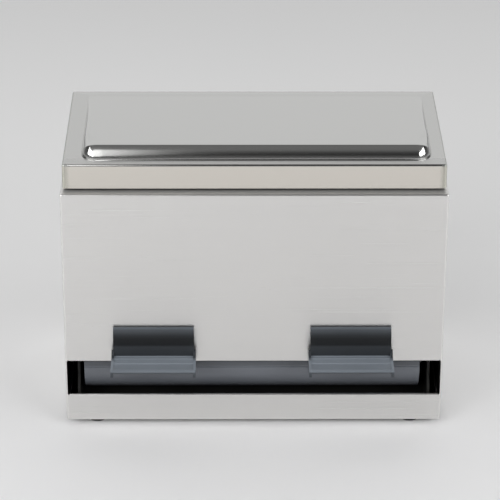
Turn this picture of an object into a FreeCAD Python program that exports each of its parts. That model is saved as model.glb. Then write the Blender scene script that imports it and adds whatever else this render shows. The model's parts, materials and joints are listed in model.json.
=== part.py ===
import FreeCAD, Part
import math
import os

from FreeCAD import Vector

# Straw dispenser: a sheet steel box with a hinged lid. A grooved drum behind the front slot carries
# one straw at a time from the hopper down to the tray when either of two levers is pressed.
# Millimetres. X runs to the right, Y to the back, Z up. Depths are counted from the front panel's
# outer face and heights from the table; save() moves the whole model so that the origin lies under
# the middle of its bounding box. The drum and its levers sit a little to the left of the middle.

# ---- driving dimensions: sheet steel body ----
BODY_W = 226.0
BODY_D = 115.0
BODY_TOP = 153.5
SHEET = 0.8
FOOT_H = 3.5
BEND_R = 1.1
LEDGE = 12.0
REAR_FLANGE = 7.2
SLOT_LOW = 21.0
SLOT_HIGH = 43.5
SLOT_CORNER_R = 1.5
HEM_H = 6.0

# ---- lid ----
LID_W = 223.0
LID_FRONT = 4.0
LID_LOW = 155.6
LID_TOP = 170.8
LID_CORNER_R = 2.5
LID_EDGE_R = 1.4
WEDGE_H = 8.8
WEDGE_X = 1.2
WEDGE_SIDE = 102.2
WEDGE_FRONT = 9.4
WEDGE_REAR = 107.6
WEDGE_SLOPE = 4.0
WEDGE_END = 9.0
WEDGE_BACK = 11.0
WEDGE_WALL = 0.6
SURFACE_DEGREE = 3
MARGIN = 10.0
MARGIN_STEPS = 20
X_STEPS = 12
Y_STEPS = 10

# ---- hinge ----
HINGE_L = 214.0
HINGE_AXIS_Z = 154.35
KNUCKLES = 9
KNUCKLE_R = 1.8
KNUCKLE_BORE_R = 1.05
HINGE_PIN_R = 1.0
LEAF_T = 0.8
LEAF_H = 13.0
KNUCKLE_GAP = 0.25
RIVET_R = 1.2
RIVET_HEAD_R = 2.4
RIVET_HEAD_T = 0.7
RIVET_TOP_R = 1.3
RIVET_OFFSET = 7.5
HINGE_RIVETS_X = (-90.0, -30.0, 30.0, 90.0)

# ---- drum and axle ----
DRUM_R = 22.0
DRUM_Y = 25.0
DRUM_Z = 38.2
DRUM_HALF = 98.8
DRUM_SHIFT = -1.1
CAP_T = 2.0
GROOVE_ANGLE = 31.0
GROOVE_W = 6.8
GROOVE_FLOOR_R = 15.4
REBATE = 0.45
REBATE_LOW = -1.3
REBATE_HIGH = 21.0
DRUM_WALL = 2.7
HUB_R = 7.0
RIB_T = 2.0
RIB_ANGLES = (75, 165, 255, 345)
AXLE_R = 3.0
AXLE_HALF = 109.8
AXLE_RUNNING = 0.05

# ---- levers ----
LEVER_X = 58.7
PLATE_HALF = 24.0
SHELF_HALF = 25.1
SKIRT_T = 1.5
PLATE_FACE = -5.0
PLATE_T = 2.0
ROLL_Z = 61.0
ROLL_R = 8.0
ROLL_END = 130.0
SHELF_REAR = 49.6
SHELF_TOP = 48.7
SHELF_T = 1.4
SHELF_NOSE = -22.8
CREASE_R = 0.5
RIB_R = 1.3
RIB_H = 0.35
SHELF_RIBS = (-7.4, -12.9, -20.9)
TONGUE_TOP = SLOT_HIGH - 0.5
TONGUE_LOW = SLOT_HIGH - 3.9
TONGUE_SHOULDER = ((PLATE_FACE + PLATE_T, TONGUE_TOP + 2.5), (-0.8, TONGUE_TOP))
TONGUE_BELLY = ((0.0, TONGUE_LOW), (-3.4, TONGUE_LOW + 1.2), (PLATE_FACE - 1.4, 47.9))
TONGUE_ROOT = 3.0
SKIRT_BACK = -3.4
SKIRT_HIGH = 53.4
SKIRT_LOW = 44.8
SKIRT_SWEEP = ((PLATE_FACE + 0.1, SKIRT_HIGH), (-5.7, 51.5), (-8.0, 50.0))
SKIRT_NOSE = ((-21.5, 49.1), (-22.6, 48.4), (-22.9, 47.2))
SKIRT_TIP = ((-22.9, 45.6), (-22.5, 44.8), (-21.7, 44.6))
SKIRT_HEEL = (PLATE_FACE, 43.2)
SADDLE_T = 2.0
SADDLE_LOW = -9.0
SADDLE_HIGH = 9.0
LEVER_SCREW_R = 1.5
LEVER_SCREW_HEAD_R = 2.2
LEVER_SCREW_HEAD_T = 0.9
LEVER_SCREW_ANGLE = -3.0
LEVER_SCREW_X = 15.0

# ---- inner frame ----
CHEEK_IN = 104.6
CHEEK_T = 1.5
CHEEK_TOP = 147.0
CHEEK_FRONT = ((2.4, 24.0), (7.0, 30.0), (7.0, 47.0), (2.4, 55.0))
CHEEK_REAR_GAP = 2.0
CHEEK_FLANGE_FRONT = 4.0
CHEEK_BEND_R = 1.2
CHEEK_FOOT = 5.1
BUSH_R = 5.0
BUSH_FLANGE_R = 7.2
BUSH_FLANGE_T = 1.0
HOPPER_SHEET = 1.0
HOPPER_POINTS = ((113.2, 104.5), (113.2, 94.5), (40.5, 59.5), (46.0, 53.0))
TRAY_POINTS = ((2.4, 13.0), (4.2, 8.5), (12.0, 8.5), (40.0, 12.3), (50.5, 31.0))
TRAY_SHEET = 1.0
PLATE_FLANGE = 8.0
CHEEK_SCREW_R = 1.0
CHEEK_SCREW_HEAD_R = 1.9
CHEEK_SCREW_HEAD_T = 1.1
NUT_R = 2.3
NUT_T = 1.6
CHEEK_SCREW_TIP = 0.6
CHEEK_SCREW_TAPER = 0.7
CHEEK_SCREWS_Y = (18.0, 92.0)

# ---- springs, feet, bumpers ----
SPRING_R = 8.4
WIRE_R = 0.4
HOOK_HOLE_R = 0.7
SPRING_TURNS = 1.6
SPRING_PITCH = 0.95
SPRING_INNER_HOOK = 1.2
SPRING_OUTER_HOOK = 0.4
CLIP_WALL = 2.6
CLIP_T = 0.8
CLIP_PLAY = 0.2
CLIP_MOUTH = 1.6
FOOT_R = 6.5
FOOT_TAPER = 0.6
FOOT_EDGE_R = 0.6
FOOT_STEM_R = 2.2
FOOT_BARB_R = 3.4
FOOT_BARB_TIP_R = 1.5
FOOT_BARB_H = 2.4
FOOT_X = 95.0
FEET_Y = (10.0, 103.0)
BUMPER_R = 2.0
BUMPERS_Y = (24.0, 96.0)

# ---- derived ----
HALF_W = BODY_W / 2
INNER_HALF = HALF_W - SHEET
PANEL_IN = BODY_D - SHEET
LID_HALF = LID_W / 2
HINGE_AXIS_Y = BODY_D + KNUCKLE_R
CAP_END = DRUM_HALF + CAP_T
CHEEK_OUT = CHEEK_IN + CHEEK_T
FLOOR_TOP = FOOT_H + SHEET
LEVER_SCREW_END_R = DRUM_R - DRUM_WALL - 2.0
DEPTH_MIDDLE = (SKIRT_NOSE[-1][0] + HINGE_AXIS_Y + KNUCKLE_R) / 2
SCREW_LINE_X = CHEEK_OUT + CHEEK_FOOT / 2 + 0.1
CAP_HOOK_ANGLE = -90.0
CHEEK_HOOK_ANGLE = CAP_HOOK_ANGLE - 360.0 * SPRING_TURNS
AXIS_X = Vector(1, 0, 0)
# Share of a unit vector that counts as parallel, distance that counts as touching, and how far a
# cutting tool stands out of what it cuts.
PARALLEL = 0.9
NEAR = 0.01
OVERCUT = 1.0


def save(name, shape, shift=0.0):
    placed = shape.copy()
    placed.translate(Vector(shift, -DEPTH_MIDDLE, 0))
    placed.exportStep(os.path.join("parts", name + ".step"))


def box(x_low, x_high, y_low, y_high, z_low, z_high):
    size = (x_high - x_low, y_high - y_low, z_high - z_low)
    return Part.makeBox(*size, Vector(x_low, y_low, z_low))


def rod_x(radius, x_low, x_high, y, z):
    return Part.makeCylinder(radius, x_high - x_low, Vector(x_low, y, z), AXIS_X)


def rod_z(radius, z_low, z_high, x, y):
    return Part.makeCylinder(radius, z_high - z_low, Vector(x, y, z_low))


def rod_y(radius, y_low, y_high, x, z):
    return Part.makeCylinder(radius, y_high - y_low, Vector(x, y_low, z), Vector(0, 1, 0))


def fuse(shapes):
    whole = shapes[0].multiFuse(shapes[1:]) if len(shapes) > 1 else shapes[0]
    return whole.removeSplitter()


def prism_x(points, x_low, x_high):
    """A closed outline of (depth, height) points, drawn out along X."""
    corners = [Vector(x_low, y, z) for y, z in points]
    face = Part.Face(Part.makePolygon(corners + corners[:1]))
    return face.extrude(Vector(x_high - x_low, 0, 0))


def outline_x(edges, x_low, x_high):
    """A closed outline of edges in the plane x = 0, drawn out along X."""
    face = Part.Face(Part.Wire(Part.__sortEdges__(edges)))
    face.translate(Vector(x_low, 0, 0))
    return face.extrude(Vector(x_high - x_low, 0, 0))


def line(start, end):
    return Part.LineSegment(Vector(0, *start), Vector(0, *end)).toShape()


def arc(start, middle, end):
    return Part.Arc(Vector(0, *start), Vector(0, *middle), Vector(0, *end)).toShape()


def on_drum(radius, angle):
    """Depth and height of a point around the axle. Angle 0 faces the front, 90 is up."""
    turn = math.radians(angle)
    return DRUM_Y - radius * math.cos(turn), DRUM_Z + radius * math.sin(turn)


def drum_sector(inner, outer, low, high, x_low, x_high):
    """A ring sector around the axle between two angles."""
    middle = (low + high) / 2
    edges = [
        arc(on_drum(outer, low), on_drum(outer, middle), on_drum(outer, high)),
        line(on_drum(outer, high), on_drum(inner, high)),
        arc(on_drum(inner, high), on_drum(inner, middle), on_drum(inner, low)),
        line(on_drum(inner, low), on_drum(outer, low)),
    ]
    return outline_x(edges, x_low, x_high)


def bent_strip(points, thickness, x_low, x_high):
    """Sheet of even thickness that follows a line of points, its thickness to the line's left."""
    walls = []
    for (y0, z0), (y1, z1) in zip(points, points[1:]):
        run = math.hypot(y1 - y0, z1 - z0)
        walls.append((-(z1 - z0) / run * thickness, (y1 - y0) / run * thickness))
    offset = [(points[0][0] + walls[0][0], points[0][1] + walls[0][1])]
    for index in range(1, len(points) - 1):
        (ay, az), (by, bz) = walls[index - 1], walls[index]
        scale = 2 * thickness**2 / ((ay + by) ** 2 + (az + bz) ** 2)
        y, z = points[index]
        offset.append((y + (ay + by) * scale, z + (az + bz) * scale))
    offset.append((points[-1][0] + walls[-1][0], points[-1][1] + walls[-1][1]))
    return prism_x(list(points) + offset[::-1], x_low, x_high)


def edges_where(shape, test):
    """Edges whose middle point and direction pass a test."""
    chosen = []
    for edge in shape.Edges:
        middle = edge.valueAt((edge.FirstParameter + edge.LastParameter) / 2)
        direction = edge.tangentAt(edge.FirstParameter)
        if test(middle, direction):
            chosen.append(edge)
    return chosen


# ---- sheet steel body ----


def body_block(inset, top):
    """The body's outline less an inset, with rounded front corners and upper edges."""
    radius = BEND_R - inset
    block = box(-HALF_W + inset, HALF_W - inset, inset, PANEL_IN, FOOT_H - inset, top)
    upright = edges_where(
        block, lambda at, way: abs(way.z) > PARALLEL and at.y < BODY_D / 2
    )
    block = block.makeFillet(radius, upright)
    upper = edges_where(
        block, lambda at, way: at.z > top - NEAR and at.y < PANEL_IN - NEAR
    )
    return block.makeFillet(radius * PARALLEL, upper)


def outer_shell():
    shell = body_block(0, BODY_TOP).cut(body_block(SHEET, BODY_TOP - SHEET))
    behind = PANEL_IN + BEND_R
    inner_top = BODY_TOP - SHEET
    open_back = box(-INNER_HALF, INNER_HALF, PANEL_IN - BEND_R, behind, FLOOR_TOP, inner_top)
    mouth = box(-HALF_W + LEDGE, HALF_W - LEDGE, LEDGE, behind, inner_top - BEND_R, LID_LOW)
    slot = box(-INNER_HALF, INNER_HALF, -BEND_R, 2 * BEND_R, SLOT_LOW - SHEET, SLOT_HIGH + SHEET)
    ends = edges_where(slot, lambda at, way: abs(way.y) > PARALLEL)
    slot = slot.makeFillet(SLOT_CORNER_R, ends)
    shell = shell.cut(open_back).cut(mouth).cut(slot)
    flange = box(INNER_HALF - REAR_FLANGE, INNER_HALF, PANEL_IN - SHEET, PANEL_IN,
                 FLOOR_TOP + PLATE_FLANGE + SHEET, inner_top)
    flanges = [sided(flange, side) for side in (-1, 1)]
    return fuse([shell] + hem(SLOT_LOW, -1) + hem(SLOT_HIGH, 1) + flanges)


def hem(edge_z, way):
    """Folded edge of the slot: a second layer inside the sheet and a round fold along the edge."""
    half = INNER_HALF - BEND_R
    fold_z = edge_z + way * SHEET
    far_z = edge_z + way * HEM_H
    layer = box(-half, half, SHEET, 2 * SHEET, min(fold_z, far_z), max(fold_z, far_z))
    return [layer, rod_x(SHEET, -half, half, SHEET, fold_z)]


def back_panel():
    panel = box(-HALF_W, HALF_W, PANEL_IN, BODY_D, FOOT_H, BODY_TOP)
    for x in HINGE_RIVETS_X:
        hole = rod_y(RIVET_R, PANEL_IN - OVERCUT, BODY_D + OVERCUT, x, rivet_height(-1))
        panel = panel.cut(hole)
    return panel


def base_plate():
    plate = box(-INNER_HALF, INNER_HALF, SHEET, PANEL_IN, FOOT_H, FLOOR_TOP)
    inner = INNER_HALF - SHEET
    rim_top = FLOOR_TOP + PLATE_FLANGE
    rims = [
        box(-INNER_HALF, -inner, 2 * BEND_R, PANEL_IN, FLOOR_TOP, rim_top),
        box(inner, INNER_HALF, 2 * BEND_R, PANEL_IN, FLOOR_TOP, rim_top),
        box(-inner, inner, PANEL_IN - SHEET, PANEL_IN, FLOOR_TOP, rim_top),
    ]
    plate = fuse([plate] + rims)
    corners = edges_where(
        plate, lambda at, way: abs(way.z) > PARALLEL and at.y < 2 * SHEET and at.z < FLOOR_TOP
    )
    plate = plate.makeFillet(BEND_R - SHEET, corners)
    for x, y in feet_places():
        plate = plate.cut(rod_z(FOOT_STEM_R, 0, FLOOR_TOP + OVERCUT, x, y))
    for x, y in cheek_screw_places():
        plate = plate.cut(rod_z(CHEEK_SCREW_R, 0, FLOOR_TOP + OVERCUT, x, y))
    return plate


def feet_places():
    return [(side * FOOT_X, y) for y in FEET_Y for side in (-1, 1)]


def foot(x, y):
    pad = Part.makeCone(FOOT_R, FOOT_R - FOOT_TAPER, FOOT_H, Vector(x, y, 0))
    pad = pad.makeFillet(FOOT_EDGE_R, edges_where(pad, lambda at, way: at.z < NEAR))
    stem = rod_z(FOOT_STEM_R, FOOT_H, FLOOR_TOP, x, y)
    barb = Part.makeCone(FOOT_BARB_R, FOOT_BARB_TIP_R, FOOT_BARB_H, Vector(x, y, FLOOR_TOP))
    return fuse([pad, stem, barb])


# ---- inner frame ----


def cheek_screw_places():
    return [(side * SCREW_LINE_X, y) for y in CHEEK_SCREWS_Y for side in (-1, 1)]


def cheek(side):
    """Side plate that carries the axle and closes the hopper's end."""
    rear = PANEL_IN - CHEEK_REAR_GAP
    flange_top = FLOOR_TOP + CHEEK_T
    front_foot = (CHEEK_FRONT[0][0], flange_top)
    front_top = (CHEEK_FRONT[-1][0], CHEEK_TOP)
    outline = [front_foot, *CHEEK_FRONT, front_top, (rear, CHEEK_TOP), (rear, flange_top)]
    wall = prism_x(outline, CHEEK_IN, CHEEK_OUT)
    flange = box(CHEEK_IN, CHEEK_OUT + CHEEK_FOOT, CHEEK_FLANGE_FRONT, rear - SHEET,
                 FLOOR_TOP, flange_top)
    plate = fuse([wall, flange])
    bend = edges_where(
        plate,
        lambda at, way: abs(way.y) > PARALLEL
        and at.z < FLOOR_TOP + NEAR
        and at.x < CHEEK_IN + NEAR,
    )
    plate = plate.makeFillet(CHEEK_BEND_R, bend)
    through = (CHEEK_IN - OVERCUT, CHEEK_OUT + OVERCUT)
    plate = plate.cut(rod_x(BUSH_R, *through, DRUM_Y, DRUM_Z))
    plate = plate.cut(rod_x(HOOK_HOLE_R, *through, *on_drum(SPRING_R, CHEEK_HOOK_ANGLE)))
    for y in CHEEK_SCREWS_Y:
        hole = rod_z(CHEEK_SCREW_R, FLOOR_TOP - OVERCUT, flange_top + OVERCUT, SCREW_LINE_X, y)
        plate = plate.cut(hole)
    return sided(plate, side)


def sided(shape, side):
    """The shape itself on the right, or its mirror image on the left."""
    return shape if side > 0 else shape.mirror(Vector(0, 0, 0), AXIS_X)


def bush(side):
    sleeve = rod_x(BUSH_R, CHEEK_IN, CHEEK_OUT, DRUM_Y, DRUM_Z)
    rim = rod_x(BUSH_FLANGE_R, CHEEK_OUT, CHEEK_OUT + BUSH_FLANGE_T, DRUM_Y, DRUM_Z)
    end = CHEEK_OUT + BUSH_FLANGE_T + OVERCUT
    bore = rod_x(AXLE_R + AXLE_RUNNING, CHEEK_IN - OVERCUT, end, DRUM_Y, DRUM_Z)
    return sided(fuse([sleeve, rim]).cut(bore), side)


def cheek_screws():
    screws = []
    for x, y in cheek_screw_places():
        head = Part.makeCone(CHEEK_SCREW_HEAD_R * CHEEK_SCREW_TAPER, CHEEK_SCREW_HEAD_R,
                             CHEEK_SCREW_HEAD_T, Vector(x, y, FOOT_H - CHEEK_SCREW_HEAD_T))
        tip = FLOOR_TOP + CHEEK_T + NUT_T + CHEEK_SCREW_TIP
        shank = rod_z(CHEEK_SCREW_R, FOOT_H, tip, x, y)
        screws.append(fuse([head, shank]))
    return Part.makeCompound(screws)


def hexagon_prism(radius, z_low, height, x, y):
    """A hexagonal bar across whose corners twice the radius is measured, a corner to the back."""
    corners = [
        Vector(x + radius * math.cos(turn), y + radius * math.sin(turn), z_low)
        for turn in (math.pi / 3 * step + math.pi / 6 for step in range(6))
    ]
    return Part.Face(Part.makePolygon(corners + corners[:1])).extrude(Vector(0, 0, height))


def cheek_nuts():
    nuts = []
    low = FLOOR_TOP + CHEEK_T
    for x, y in cheek_screw_places():
        nut = hexagon_prism(NUT_R, low, NUT_T, x, y)
        nuts.append(nut.cut(rod_z(CHEEK_SCREW_R, low - OVERCUT, low + NUT_T + OVERCUT, x, y)))
    return Part.makeCompound(nuts)


def hopper_floor():
    """Sloping sheet from the back panel down to the drum, with its front edge turned down."""
    return bent_strip(HOPPER_POINTS, HOPPER_SHEET, -CHEEK_IN, CHEEK_IN)


def straw_tray():
    """Trough below the drum that presents the dropped straw behind the front lip."""
    return bent_strip(TRAY_POINTS, TRAY_SHEET, -CHEEK_IN, CHEEK_IN)


# ---- drum ----


def groove_outline(margin):
    """Straw groove: a round-bottomed channel that opens outwards, grown by a margin."""
    half = GROOVE_W / 2 + margin
    reach = CAP_END + OVERCUT
    floor_centre = DRUM_Y - GROOVE_FLOOR_R - GROOVE_W / 2
    channel = box(-reach, reach, DRUM_Y - 1.5 * DRUM_R, floor_centre,
                  DRUM_Z - half, DRUM_Z + half)
    round_floor = rod_x(half, -reach, reach, floor_centre, DRUM_Z)
    shape = fuse([channel, round_floor])
    shape.rotate(Vector(0, DRUM_Y, DRUM_Z), AXIS_X, -GROOVE_ANGLE)
    return shape


def drum_section(x_low, x_high):
    """Outer form of the drum over a stretch of its length: groove and shallow upper rebate cut."""
    disc = rod_x(DRUM_R, x_low, x_high, DRUM_Y, DRUM_Z)
    rebate = drum_sector(DRUM_R - REBATE, DRUM_R + OVERCUT, REBATE_LOW, REBATE_HIGH,
                         x_low, x_high)
    return disc.cut(rebate).cut(groove_outline(0))


def drum():
    body = drum_section(-DRUM_HALF, DRUM_HALF)
    core = rod_x(DRUM_R - DRUM_WALL, -DRUM_HALF, DRUM_HALF, DRUM_Y, DRUM_Z)
    core = core.cut(rod_x(HUB_R, -DRUM_HALF, DRUM_HALF, DRUM_Y, DRUM_Z))
    core = core.cut(groove_outline(DRUM_WALL))
    for angle in RIB_ANGLES:
        rib = box(-DRUM_HALF, DRUM_HALF, DRUM_Y - DRUM_R, DRUM_Y,
                  DRUM_Z - RIB_T / 2, DRUM_Z + RIB_T / 2)
        rib.rotate(Vector(0, DRUM_Y, DRUM_Z), AXIS_X, -angle)
        core = core.cut(rib)
    body = body.cut(core)
    return body.cut(rod_x(AXLE_R, -DRUM_HALF, DRUM_HALF, DRUM_Y, DRUM_Z))


def drum_cap(side):
    plate = drum_section(DRUM_HALF, CAP_END)
    plate = plate.cut(rod_x(AXLE_R, DRUM_HALF, CAP_END, DRUM_Y, DRUM_Z))
    hook_hole = rod_x(HOOK_HOLE_R, DRUM_HALF, CAP_END, *on_drum(SPRING_R, CAP_HOOK_ANGLE))
    return sided(plate.cut(hook_hole), side)


def axle():
    return rod_x(AXLE_R, -AXLE_HALF, AXLE_HALF, DRUM_Y, DRUM_Z)


def axle_clips():
    low = CHEEK_OUT + BUSH_FLANGE_T + CLIP_PLAY
    ring = rod_x(AXLE_R + CLIP_WALL, low, low + CLIP_T, DRUM_Y, DRUM_Z)
    ring = ring.cut(rod_x(AXLE_R, low, low + CLIP_T, DRUM_Y, DRUM_Z))
    mouth = box(low, low + CLIP_T, DRUM_Y - CLIP_MOUTH, DRUM_Y + CLIP_MOUTH,
                DRUM_Z - 2 * AXLE_R, DRUM_Z)
    ring = ring.cut(mouth)
    return Part.makeCompound([sided(ring, side) for side in (-1, 1)])


def return_spring(side):
    """Torsion spring around the axle, one end hooked in the cheek and the other in the drum cap."""
    cap_end = CAP_END + side * DRUM_SHIFT
    height = SPRING_TURNS * SPRING_PITCH
    start_x = cap_end + (CHEEK_IN - cap_end - height) / 2
    helix = Part.makeHelix(SPRING_PITCH, height, SPRING_R)
    section = Part.Wire(Part.makeCircle(WIRE_R, Vector(SPRING_R, 0, 0), Vector(0, 1, 0)))
    coil = Part.Wire(helix).makePipeShell([section], True, True)
    coil.rotate(Vector(0, 0, 0), Vector(0, 1, 0), 90)
    coil.translate(Vector(start_x, DRUM_Y, DRUM_Z))
    first = Vector(start_x, *on_drum(SPRING_R, CAP_HOOK_ANGLE))
    last = Vector(start_x + height, *on_drum(SPRING_R, CHEEK_HOOK_ANGLE))
    ends = [
        rod_x(WIRE_R, cap_end - SPRING_INNER_HOOK, first.x, first.y, first.z),
        Part.makeSphere(WIRE_R, first),
        rod_x(WIRE_R, last.x, CHEEK_OUT + SPRING_OUTER_HOOK, last.y, last.z),
        Part.makeSphere(WIRE_R, last),
    ]
    return sided(coil.multiFuse(ends), side)


# ---- levers ----


def shelf_height(y):
    """The shelf's top falls a little from the plate to the nose."""
    share = (y - SHELF_NOSE) / (PLATE_FACE - SHELF_NOSE)
    return SHELF_TOP + (SHELF_REAR - SHELF_TOP) * share


def lever_outline():
    """Section of the lever: rolled back plate, finger shelf and the tongue that enters the slot."""
    roll_y = PLATE_FACE + ROLL_R
    inner_r = ROLL_R - PLATE_T

    def rolled(radius, angle):
        turn = math.radians(angle)
        return roll_y + radius * math.cos(turn), ROLL_Z + radius * math.sin(turn)

    tip_turn = math.radians(ROLL_END)
    tip_y, tip_z = rolled(ROLL_R - PLATE_T / 2, ROLL_END)
    tip = (tip_y + PLATE_T / 2 * math.sin(tip_turn), tip_z - PLATE_T / 2 * math.cos(tip_turn))
    middle = (180 + ROLL_END) / 2
    root_y = DRUM_Y - DRUM_R + TONGUE_ROOT
    belly_top = TONGUE_BELLY[-1]
    nose_y = SHELF_NOSE + SHELF_T / 2
    nose_low = (nose_y, SHELF_TOP - SHELF_T)
    nose_top = (nose_y, SHELF_TOP)
    crease_front = (PLATE_FACE - CREASE_R, shelf_height(PLATE_FACE - CREASE_R))
    crease_top = (PLATE_FACE, SHELF_REAR + CREASE_R)
    inset = CREASE_R * (1 - math.sqrt(0.5))
    crease_middle = (PLATE_FACE - inset, SHELF_REAR + inset)
    points = [rolled(inner_r, 180), *TONGUE_SHOULDER, (root_y, TONGUE_TOP), (root_y, TONGUE_LOW),
              *TONGUE_BELLY, nose_low]
    return [
        arc(rolled(ROLL_R, 180), rolled(ROLL_R, middle), rolled(ROLL_R, ROLL_END)),
        arc(rolled(ROLL_R, ROLL_END), tip, rolled(inner_r, ROLL_END)),
        arc(rolled(inner_r, ROLL_END), rolled(inner_r, middle), rolled(inner_r, 180)),
        *[line(start, end) for start, end in zip(points, points[1:])],
        arc(nose_low, (SHELF_NOSE, SHELF_TOP - SHELF_T / 2), nose_top),
        line(nose_top, crease_front),
        arc(crease_front, crease_middle, crease_top),
        line(crease_top, rolled(ROLL_R, 180)),
    ]


def skirt_outline():
    """Side flange that stiffens the shelf: it rises at the plate and hangs below the shelf."""
    heel = (SKIRT_BACK, SKIRT_LOW)
    head = (SKIRT_BACK, SKIRT_HIGH)
    return [
        line(head, SKIRT_SWEEP[0]),
        arc(*SKIRT_SWEEP),
        line(SKIRT_SWEEP[-1], SKIRT_NOSE[0]),
        arc(*SKIRT_NOSE),
        line(SKIRT_NOSE[-1], SKIRT_TIP[0]),
        arc(*SKIRT_TIP),
        line(SKIRT_TIP[-1], SKIRT_HEEL),
        line(SKIRT_HEEL, heel),
        line(heel, head),
    ]


def lever(centre):
    left, right = centre - PLATE_HALF, centre + PLATE_HALF
    pieces = [
        outline_x(lever_outline(), left, right),
        drum_sector(DRUM_R - OVERCUT, DRUM_R + SADDLE_T, SADDLE_LOW, SADDLE_HIGH, left, right),
    ]
    for side in (-1, 1):
        edge = centre + side * SHELF_HALF
        inner = edge - side * SKIRT_T
        pieces.append(outline_x(skirt_outline(), min(edge, inner), max(edge, inner)))
    for y in SHELF_RIBS:
        pieces.append(rod_x(RIB_R, left, right, y, shelf_height(y) - RIB_R + RIB_H))
    whole = fuse(pieces).cut(drum_section(-DRUM_HALF, DRUM_HALF))
    for x in lever_screw_places(centre):
        hole = radial_rod(LEVER_SCREW_R, LEVER_SCREW_END_R, DRUM_R + SADDLE_T + OVERCUT, x)
        whole = whole.cut(hole)
    return whole


def lever_screw_places(centre):
    return [centre - LEVER_SCREW_X, centre + LEVER_SCREW_X]


def radial_rod(radius, inner, outer, x):
    """A rod square to the drum's surface at the lever screws' angle."""
    y, z = on_drum(inner, LEVER_SCREW_ANGLE)
    end_y, end_z = on_drum(outer, LEVER_SCREW_ANGLE)
    way = Vector(0, end_y - y, end_z - z)
    return Part.makeCylinder(radius, outer - inner, Vector(x, y, z), way)


def lever_screws():
    screws = []
    for centre in (-LEVER_X, LEVER_X):
        for x in lever_screw_places(centre):
            outside = DRUM_R + SADDLE_T
            shank = radial_rod(LEVER_SCREW_R, LEVER_SCREW_END_R, outside, x)
            head = radial_rod(LEVER_SCREW_HEAD_R, outside, outside + LEVER_SCREW_HEAD_T, x)
            screws.append(fuse([shank, head]))
    return Part.makeCompound(screws)


def drum_with_screw_holes():
    body = drum()
    for centre in (-LEVER_X, LEVER_X):
        for x in lever_screw_places(centre):
            body = body.cut(radial_rod(LEVER_SCREW_R, LEVER_SCREW_END_R, DRUM_R + OVERCUT, x))
    return body


# ---- lid and hinge ----


def wedge_height(x, y, inset):
    """Height of the stamped panel less an inset: highest at the front, nothing at the rear.

    Its front wall starts upright and leans back as it rises. Its ends are rounded off, and the
    wall runs back towards them.
    """
    depth = WEDGE_REAR - WEDGE_FRONT
    from_side = WEDGE_SIDE - inset - abs(x - WEDGE_X)
    end = 1.0 - min(max(from_side / WEDGE_END, 0.0), 1.0)
    rounding = math.sqrt(1.0 - end * end)
    from_rear = (WEDGE_REAR - y) * depth / (depth - WEDGE_BACK * (1.0 - rounding))
    wall = min(max((depth - from_rear - inset) / WEDGE_SLOPE, 0.0), 1.0)
    fall = min(max((from_rear - inset) / (depth - WEDGE_SLOPE), 0.0), 1.0)
    return WEDGE_H * fall * math.sqrt(wall) * rounding


def spaced(low, high, coarse):
    """Stations from low to high, close together in a margin at each end."""
    step = MARGIN / MARGIN_STEPS
    inner = low + MARGIN
    wide = (high - low - 2 * MARGIN) / coarse
    first = [low + step * index for index in range(MARGIN_STEPS)]
    middle = [inner + wide * index for index in range(coarse + 1)]
    last = [high - step * index for index in reversed(range(MARGIN_STEPS))]
    return first + middle + last


def clamped_knots(count):
    """Knots and their multiplicities for a row of poles whose ends lie on the surface."""
    spans = count - SURFACE_DEGREE
    ends = SURFACE_DEGREE + 1
    return [float(index) for index in range(spans + 1)], [ends] + [1] * (spans - 1) + [ends]


def lid_block(inset, low, top):
    block = box(-LID_HALF + inset, LID_HALF - inset, LID_FRONT + inset, BODY_D - inset, low, top)
    upright = edges_where(block, lambda at, way: abs(way.z) > PARALLEL)
    block = block.makeFillet(LID_CORNER_R - inset, upright)
    upper = edges_where(block, lambda at, way: at.z > top - NEAR)
    return block.makeFillet(LID_EDGE_R - inset, upper)


def below_wedge(inset, drop):
    """Everything from the stamped panel's surface, less an inset and a drop, down through the lid."""
    x_stations = spaced(WEDGE_X - WEDGE_SIDE, WEDGE_X + WEDGE_SIDE, X_STEPS)
    y_stations = spaced(WEDGE_FRONT, WEDGE_REAR, Y_STEPS)
    top = LID_TOP - drop
    poles = [
        [Vector(x, y, top + wedge_height(x, y, inset)) for y in y_stations] for x in x_stations
    ]
    x_knots, x_mults = clamped_knots(len(x_stations))
    y_knots, y_mults = clamped_knots(len(y_stations))
    surface = Part.BSplineSurface()
    surface.buildFromPolesMultsKnots(
        poles, x_mults, y_mults, x_knots, y_knots, False, False, SURFACE_DEGREE, SURFACE_DEGREE
    )
    return surface.toShape().extrude(Vector(0, 0, LID_LOW - LID_TOP))


def lid():
    low = LID_LOW - OVERCUT
    tray = lid_block(0, LID_LOW, LID_TOP).cut(lid_block(SHEET, low, LID_TOP - SHEET))
    window = box(WEDGE_X - WEDGE_SIDE, WEDGE_X + WEDGE_SIDE, WEDGE_FRONT, WEDGE_REAR,
                 LID_TOP - SHEET - OVERCUT, LID_TOP + OVERCUT)
    stamped = below_wedge(0, 0).cut(below_wedge(WEDGE_WALL, SHEET))
    cover = tray.cut(window).fuse(stamped)
    for x in HINGE_RIVETS_X:
        hole = rod_y(RIVET_R, PANEL_IN - OVERCUT, BODY_D + OVERCUT, x, rivet_height(1))
        cover = cover.cut(hole)
    return cover


def rivet_height(way):
    return HINGE_AXIS_Z + way * RIVET_OFFSET


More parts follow.
